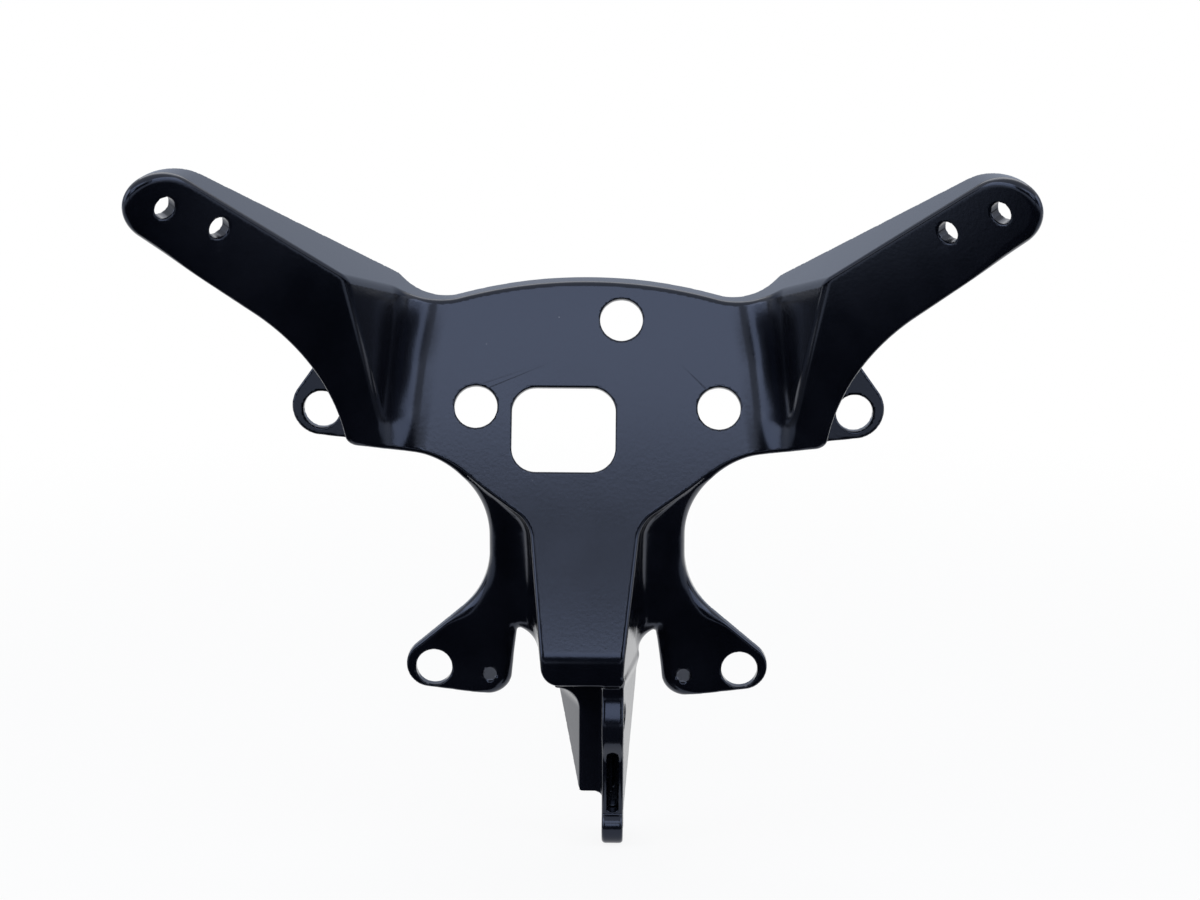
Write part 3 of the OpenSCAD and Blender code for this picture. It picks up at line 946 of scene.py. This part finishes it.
class Sock:
    """A shader socket that takes part in sums and products; each one adds its Math node."""

    def __init__(self, graph: "Graph", socket: Any) -> None:
        """Keeps the graph and the socket."""
        self.graph, self.socket = graph, socket

    def _math(self, operation: str, *values: Any) -> "Sock":
        """Adds a Math node on the values and returns its result."""
        node = self.graph.node("ShaderNodeMath", {"operation": operation}, dict(enumerate(values)))
        return Sock(self.graph, node.outputs[0])

    __add__ = __radd__ = math_method("ADD")
    __sub__, __rsub__ = math_method("SUBTRACT"), math_method("SUBTRACT", True)
    __mul__ = __rmul__ = math_method("MULTIPLY")
    __truediv__, __rtruediv__ = math_method("DIVIDE"), math_method("DIVIDE", True)
    highest = math_method("MAXIMUM")

    def __abs__(self) -> "Sock":
        """Size without sign."""
        return self._math("ABSOLUTE", self)

    def step(self, low: float, high: float) -> "Sock":
        """Smooth step from 0 at low to 1 at high."""
        node = self.graph.node("ShaderNodeMapRange", {"interpolation_type": "SMOOTHSTEP"},
                               {"Value": self, "From Min": low, "From Max": high})
        return Sock(self.graph, node.outputs["Result"])


class Graph:
    """A node tree with one way to add any node."""

    def __init__(self, tree: bpy.types.NodeTree) -> None:
        """Empties the tree."""
        self.tree = tree
        tree.nodes.clear()

    def node(self, kind: str, settings: dict[str, Any] | None = None,
             inputs: dict[Any, Any] | None = None) -> Any:
        """Adds a node.

        Args:
            kind: the node's type.
            settings: its own settings, set before its sockets.
            inputs: values, sockets or Socks by socket name or number.

        Returns:
            The node.
        """
        node = self.tree.nodes.new(kind)
        for key, value in (settings or {}).items():
            setattr(node, key, value)
        for key, value in (inputs or {}).items():
            value = value.socket if isinstance(value, Sock) else value
            if isinstance(value, bpy.types.NodeSocket):
                self.tree.links.new(value, node.inputs[key])
            else:
                node.inputs[key].default_value = value
        return node

    def out(self, kind: str, name: Any, settings: dict[str, Any] | None = None,
            inputs: dict[Any, Any] | None = None) -> Sock:
        """Adds a node and returns one of its outputs as a Sock."""
        return Sock(self, self.node(kind, settings, inputs).outputs[name])

    def place(self) -> Sock:
        """Object coordinates."""
        return self.out("ShaderNodeTexCoord", "Object")

    def noise(self, place: Sock, scale: float, detail: float) -> Sock:
        """Noise between 0 and 1."""
        inputs = {"Vector": place, "Scale": scale, "Detail": detail}
        return self.out("ShaderNodeTexNoise", "Fac", None, inputs)

    def blend(self, share: Any, first: Any, second: Any) -> Sock:
        """Mix of two colours."""
        return self.out("ShaderNodeMix", 2, {"data_type": "RGBA"}, {0: share, 6: first, 7: second})

    def layer(self, share: Any, first: Sock, second: Sock) -> Sock:
        """Mix of two shaders."""
        return self.out("ShaderNodeMixShader", 0, None, {0: share, 1: first, 2: second})

    def glow(self, colour: Colour) -> Sock:
        """Even light of a colour, as bright as the colour."""
        return self.out("ShaderNodeEmission", 0, None, {"Color": colour, "Strength": 1.0})

    def surface(self, shader: Sock) -> None:
        """Makes a shader the material's surface."""
        self.node("ShaderNodeOutputMaterial", None, {"Surface": shader})


def new_material(name: str) -> tuple[bpy.types.Material, Graph]:
    """A new material and its empty graph."""
    material = bpy.data.materials.new(name)
    material.use_nodes = True
    return material, Graph(material.node_tree)


@dataclass(frozen=True)
class BlackCoat:
    """Semi-gloss black coating: faint bluish black, fine orange peel, a few specks of dust."""

    name: str = "black_coat"
    deep: Colour = (0.0012, 0.0015, 0.0028, 1.0)
    pale: Colour = (0.0030, 0.0034, 0.0056, 1.0)
    mark: Colour = (0.075, 0.078, 0.088, 1.0)
    dust: Colour = (0.32, 0.33, 0.35, 1.0)
    tint: Colour = (0.62, 0.72, 1.0, 1.0)
    cloud_scale: float = 28.0
    peel_scale: float = 620.0
    grain_scale: float = 2600.0
    speck_scale: float = 95.0
    patch_scale: float = 19.0
    speck_size: Pair = (0.012, 0.024)
    patch_step: Pair = (0.60, 0.64)
    cloud_step: Pair = (0.3, 0.7)
    roughness: float = 0.15
    cloud_rough: float = 0.08
    grain_rough: float = 0.05
    dust_rough: float = 0.3
    peel: float = 0.05
    peel_depth: float = 0.0004
    grain_height: float = 0.35
    dust_height: float = 0.8
    ior: float = 1.5
    mark_lift: float = 0.2
    mark_rim: Pair = (-0.35, 0.05)

    def build(self, sizes: CastingSizes) -> bpy.types.Material:
        """Makes the coating.

        Args:
            sizes: the casting's sizes, for the tool marks on the lower ears.

        Returns:
            The material.
        """
        material, graph = new_material(self.name)
        place = graph.place()
        cloud = graph.noise(place, self.cloud_scale, 3.0)
        peel = graph.noise(place, self.peel_scale, 2.0)
        grain = graph.noise(place, self.grain_scale, 1.0)
        patch = graph.noise(place, self.patch_scale, 0.0)
        speck = graph.out("ShaderNodeTexVoronoi", "Distance", None,
                          {"Vector": place, "Scale": self.speck_scale})
        dust = (1.0 - speck.step(*self.speck_size)) * patch.step(*self.patch_step)
        colour = graph.blend(cloud.step(*self.cloud_step), self.deep, self.pale)
        colour = graph.blend(self.marks(graph, place, sizes), colour, self.mark)
        colour = graph.blend(dust, colour, self.dust)
        rough = self.roughness + self.cloud_rough * (cloud - 0.5) + self.grain_rough * (grain - 0.5)
        height = peel + self.grain_height * grain + self.dust_height * dust
        bump = graph.out("ShaderNodeBump", "Normal", None,
                         {"Strength": self.peel, "Distance": self.peel_depth, "Height": height})
        graph.surface(graph.out("ShaderNodeBsdfPrincipled", 0, None, {
            "Base Color": colour, "Roughness": rough + self.dust_rough * dust, "Normal": bump,
            "IOR": self.ior, "Specular Tint": self.tint}))
        return material

    def marks(self, graph: Graph, place: Sock, sizes: CastingSizes) -> Sock:
        """Mask of the round tool marks on the lower ears' fronts.

        Args:
            graph: the material's graph.
            place: object coordinates.
            sizes: the casting's sizes.

        Returns:
            1 on the marks, 0 elsewhere.
        """
        shift, front = Vector(sizes.to_part()), sizes.back_y - sizes.ear_t + self.mark_lift
        total: Any = 0.0
        for side in Side:
            foot = Vector((side.value * sizes.foot[0], front, sizes.foot[1]))
            span = graph.out("ShaderNodeVectorMath", "Value", {"operation": "DISTANCE"},
                             {0: place, 1: (foot + shift) * MM})
            total = (1.0 - span.step(*((sizes.mark_r + off) * MM for off in self.mark_rim))) + total
        return total


# ---- the studio


class Hidden(Enum):
    """Kinds of ray that a painted-reflection card, which only gloss sees, is hidden from."""

    CAMERA = "visible_camera"
    DIFFUSE = "visible_diffuse"
    TRANSMISSION = "visible_transmission"
    SHADOW = "visible_shadow"


@dataclass(frozen=True)
class Softbox:
    """A soft lamp, placed by where it stands round the object's middle."""

    name: str
    azimuth: float
    elevation: float
    distance: float
    size: Pair
    radiance: float
    colour: Triple = (1.0, 1.0, 1.0)

    def build(self, aim: Vector) -> bpy.types.Object:
        """Makes the lamp; its power follows from how bright its face is.

        Args:
            aim: the point that it faces.

        Returns:
            The lamp.
        """
        data = bpy.data.lights.new(self.name, "AREA")
        data.shape = "RECTANGLE"
        data.size, data.size_y = self.size
        data.energy = self.radiance * math.pi * self.size[0] * self.size[1]
        data.color = self.colour
        lamp = bpy.data.objects.new(self.name, data)
        turn, rise = math.radians(self.azimuth), math.radians(self.elevation)
        away = Vector((math.sin(turn) * math.cos(rise), -math.cos(turn) * math.cos(rise), math.sin(rise)))
        lamp.location = aim + away * self.distance
        lamp.rotation_euler = (-away).to_track_quat("-Z", "Y").to_euler()
        bpy.context.scene.collection.objects.link(lamp)
        return lamp


@dataclass(frozen=True)
class PhotoCamera:
    """Camera at the photo's angle: a little above, a hair to the right and barely rolled."""

    lens: float = 71.7
    sensor: float = 36.0
    down: float = 10.03
    yaw: float = 0.89
    roll: float = 0.29
    away: float = 1.072
    middle: Triple = (-0.0068, 0.028, 0.1186)
    clip: Pair = (0.05, 50.0)

    def build(self) -> None:
        """Makes the camera and the scene's view through it."""
        data = bpy.data.cameras.new("camera")
        data.lens, data.sensor_width, data.sensor_fit = self.lens, self.sensor, "HORIZONTAL"
        data.clip_start, data.clip_end = self.clip
        down, yaw, roll = (math.radians(angle) for angle in (self.down, self.yaw, self.roll))
        aside = Matrix.Rotation(yaw, 3, "Z")
        place = Vector(self.middle) + aside @ Vector((0.0, -math.cos(down), math.sin(down))) * self.away
        turn = aside @ Matrix.Rotation(math.pi / 2 - down, 3, "X") @ Matrix.Rotation(roll, 3, "Z")
        camera = bpy.data.objects.new("camera", data)
        camera.matrix_world = Matrix.Translation(place) @ turn.to_4x4()
        bpy.context.scene.collection.objects.link(camera)
        bpy.context.scene.camera = camera


@dataclass(frozen=True)
class Studio:
    """Pale floor, pale background, soft lamps and glowing cards that only gloss sees, which paint the
    reflections.
    """

    floor_z: float = -0.0577
    floor_radius: float = 7.0
    floor_middle: float = 0.002
    floor_fade: Pair = (0.4, 1.2)
    floor_share: Pair = (0.88, 0.12)
    floor_colour: Colour = (0.82, 0.82, 0.82, 1.0)
    white: Colour = (1.0, 1.0, 1.0, 1.0)
    sky_light: Colour = (0.5, 0.51, 0.53, 1.0)
    # Glow colours of the painted reflection bowl: painted dark, grey and pale reflections that only gloss
    # sees.
    painted_reflection_dark: Colour = (0.006, 0.008, 0.012, 1.0)
    painted_reflection_grey: Colour = (0.60, 0.64, 0.70, 1.0)
    painted_reflection_pale: Colour = (0.95, 0.97, 1.0, 1.0)
    room_near: float = 0.03
    room_open: float = 1.2
    room_far: float = 2.6
    room_rise: float = 24.0
    room_lift: float = 0.004
    room_back: Pair = (0.55, 0.9)
    room_top: Pair = (0.25, 0.7)
    low_step: Pair = (-0.04, 0.04)
    grey_from: Pair = (0.27, 0.37)
    grey_side: Pair = (0.78, 0.95)
    pale_from: Pair = (0.55, 1.1)
    pale_side: Pair = (0.03, 0.08)
    # Glow colour of the painted grey reflection card that only gloss sees.
    painted_reflection_card_grey: Colour = (0.42, 0.47, 0.58, 1.0)
    card_radius: float = 2.4
    card_height: float = 1.6
    card_half_turn: float = 1.2
    card_fade: Pair = (1.1, 1.5)
    aim: Triple = (-0.0125, 0.0, 0.1)
    lamps: tuple[Softbox, ...] = (
        Softbox("lamp_top_front", 0.0, 36.2, 1.9, (1.9, 0.40), 2.2, (0.82, 0.88, 1.0)),
        Softbox("lamp_low_front", 0.0, 16.5, 2.0, (0.9, 0.5), 2.6, (0.82, 0.88, 1.0)),
        Softbox("lamp_top_back", 180.0, 50.0, 2.0, (2.2, 1.2), 1.3),
        Softbox("lamp_left", -70.0, 20.0, 1.8, (1.3, 1.3), 2.5, (0.82, 0.88, 1.0)),
        Softbox("lamp_right", 70.0, 20.0, 1.8, (1.3, 1.3), 2.3, (0.82, 0.88, 1.0)),
    )

    def build(self) -> None:
        """Sets up everything that is not the object."""
        for name, make in (("world", self.world), ("floor", self.floor), ("painted reflection bowl", self.painted_reflection_bowl),
                           ("painted reflection card", self.painted_reflection_card)):
            make()
            LOG.info("%s", name)
        for lamp in self.lamps:
            lamp.build(Vector(self.aim))
            LOG.info("lamp %s", lamp.name)
        PhotoCamera().build()
        bpy.context.scene.view_settings.view_transform = "Standard"

    def seen(self, graph: Graph) -> Sock:
        """1 for the camera and for what shows in gloss or glass, 0 for light that falls on surfaces."""
        path = graph.node("ShaderNodeLightPath")
        camera, gloss, glass = (Sock(graph, path.outputs[f"Is {kind} Ray"])
                                for kind in ("Camera", "Glossy", "Transmission"))
        return camera.highest(gloss).highest(glass)

    def world(self) -> None:
        """White background that lights the object with plain pale grey."""
        world = bpy.data.worlds.new("studio")
        bpy.context.scene.world = world
        world.use_nodes = True
        graph = Graph(world.node_tree)
        colour = graph.blend(self.seen(graph), self.sky_light, self.white)
        back = graph.out("ShaderNodeBackground", 0, None, {"Color": colour, "Strength": 1.0})
        graph.node("ShaderNodeOutputWorld", None, {"Surface": back})

    def stage(self, name: str, points: Array, closed: bool, material: bpy.types.Material,
              gloss_only: bool) -> None:
        """Makes a stage mesh from rows of points.

        Args:
            name: its name.
            points: its points (rows, columns, 3).
            closed: whether the last column joins the first.
            material: its material.
            gloss_only: whether only gloss sees it.
        """
        rows, columns = points.shape[:2]
        i, j = np.meshgrid(np.arange(rows - 1), np.arange(columns if closed else columns - 1), indexing="ij")
        here, there = i * columns + j, i * columns + (j + 1) % columns
        faces = np.stack([here, there, there + columns, here + columns], -1).reshape(-1, 4)
        thing = mesh_object(name, points.reshape(-1, 3), faces)
        thing.data.polygons.foreach_set("use_smooth", np.ones(len(faces), bool))
        thing.data.materials.append(material)
        for kind in Hidden if gloss_only else ():
            setattr(thing, kind.value, False)

    def floor(self) -> None:
        """Round pale floor that keeps a soft shadow and fades to the white background far out.

        Formula: rings of radius s squared times the floor's radius, at the floor's height.
        """
        rows, columns = 24, 96
        ring = np.linspace(self.floor_middle, 1.0, rows)[:, None] ** 2 * self.floor_radius
        turn = np.linspace(0.0, 2 * math.pi, columns, endpoint=False)[None, :]
        height = np.full((rows, columns), self.floor_z)
        points = np.stack([ring * np.cos(turn), ring * np.sin(turn), height], -1)
        material, graph = new_material("pale_floor")
        away = graph.out("ShaderNodeVectorMath", "Value", {"operation": "LENGTH"}, {0: graph.place()})
        plain = graph.out("ShaderNodeBsdfDiffuse", 0, None, {"Color": self.floor_colour})
        near, more = self.floor_share
        share = self.seen(graph) * (near + more * away.step(*self.floor_fade))
        graph.surface(graph.layer(share, plain, graph.glow(self.white)))
        self.stage("floor", points, True, material, False)

    def painted_reflection_bowl(self) -> None:
        """Painted reflection: a glowing card that only gloss sees, a bowl round the front and the sides of
        the object, dark with grey and pale patches.

        Formula: round the object, a profile that runs out along the floor and then up; how high it
        goes, and how near it starts, fades from the front to the back.
        """
        rows, columns = 30, 120
        turn = np.linspace(-math.pi, math.pi, columns, endpoint=False)[None, :]
        front = 0.5 + 0.5 * np.cos(turn)
        t = np.linspace(0.0, 1.0, rows)[:, None]
        near = self.room_near + self.room_open * ease(1.0 - front, *self.room_back)
        radius = near + (self.room_far - near) * np.clip(2.0 * t, 0.0, 1.0)
        top = self.room_far * math.tan(math.radians(self.room_rise)) * ease(front, *self.room_top)
        height = self.floor_z + self.room_lift + top * np.clip(2.0 * t - 1.0, 0.0, 1.0)
        points = np.stack([radius * np.sin(turn), -radius * np.cos(turn), height], -1)
        self.stage("painted_reflection_bowl", points, True, self.painted_reflection_bowl_glow(), True)

    def painted_reflection_bowl_glow(self) -> bpy.types.Material:
        """Glow of the painted reflection bowl: dark, but grey on the floor far to the sides and pale on the
        floor far out.

        Returns:
            The material.
        """
        material, graph = new_material("painted_reflection_bowl_glow")
        place = graph.place()
        away = graph.out("ShaderNodeVectorMath", "Value", {"operation": "LENGTH"}, {0: place})
        split = graph.node("ShaderNodeSeparateXYZ", None, {0: place})
        sideways = abs(Sock(graph, split.outputs["X"])) / away
        low = 1.0 - Sock(graph, split.outputs["Z"]).step(*self.low_step)
        beside = sideways.step(*self.grey_side) * away.step(*self.grey_from) * low
        far = away.step(*self.pale_from) * sideways.step(*self.pale_side) * low
        # Painted reflection: a dark glow near the object, a grey glow far to the sides and a pale glow far
        # out.
        near = graph.layer(beside, graph.glow(self.painted_reflection_dark), graph.glow(self.painted_reflection_grey))
        graph.surface(graph.layer(far, near, graph.glow(self.painted_reflection_pale)))
        return material

    def painted_reflection_card(self) -> None:
        """Painted reflection: a low glowing grey card behind, seen only in gloss, that fades out upward.

        Formula: part of a cylinder behind the object, from the floor up.
        """
        turn = np.linspace(-self.card_half_turn, self.card_half_turn, 40)[None, :]
        up = np.linspace(0.0, self.card_height, 8)[:, None]
        points = np.broadcast_arrays(self.card_radius * np.sin(turn), self.card_radius * np.cos(turn),
                                     self.floor_z + up)
        material, graph = new_material("painted_reflection_card")
        height = graph.out("ShaderNodeSeparateXYZ", "Z", None, {0: graph.place()})
        clear = graph.out("ShaderNodeBsdfTransparent", 0)
        # Painted reflection: a grey glow low behind the object, fading to clear upward.
        graph.surface(graph.layer(height.step(*self.card_fade), graph.glow(self.painted_reflection_card_grey), clear))
        self.stage("painted_reflection_card", np.stack(points, -1), False, material, True)


def corners(box: Sequence[Sequence[float]]) -> list[list[float]]:
    """A box as plain lists of numbers."""
    return [[round(float(v), 6) for v in corner] for corner in box]


def main() -> None:
    """Builds the studio and the casting in order."""
    logging.basicConfig(level=logging.INFO, format="%(name)s: %(message)s")
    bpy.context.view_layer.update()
    Studio().build()
    casting = Casting()
    piece = casting.build()
    casting.dress(piece, BlackCoat())


if __name__ == "__main__":
    main()
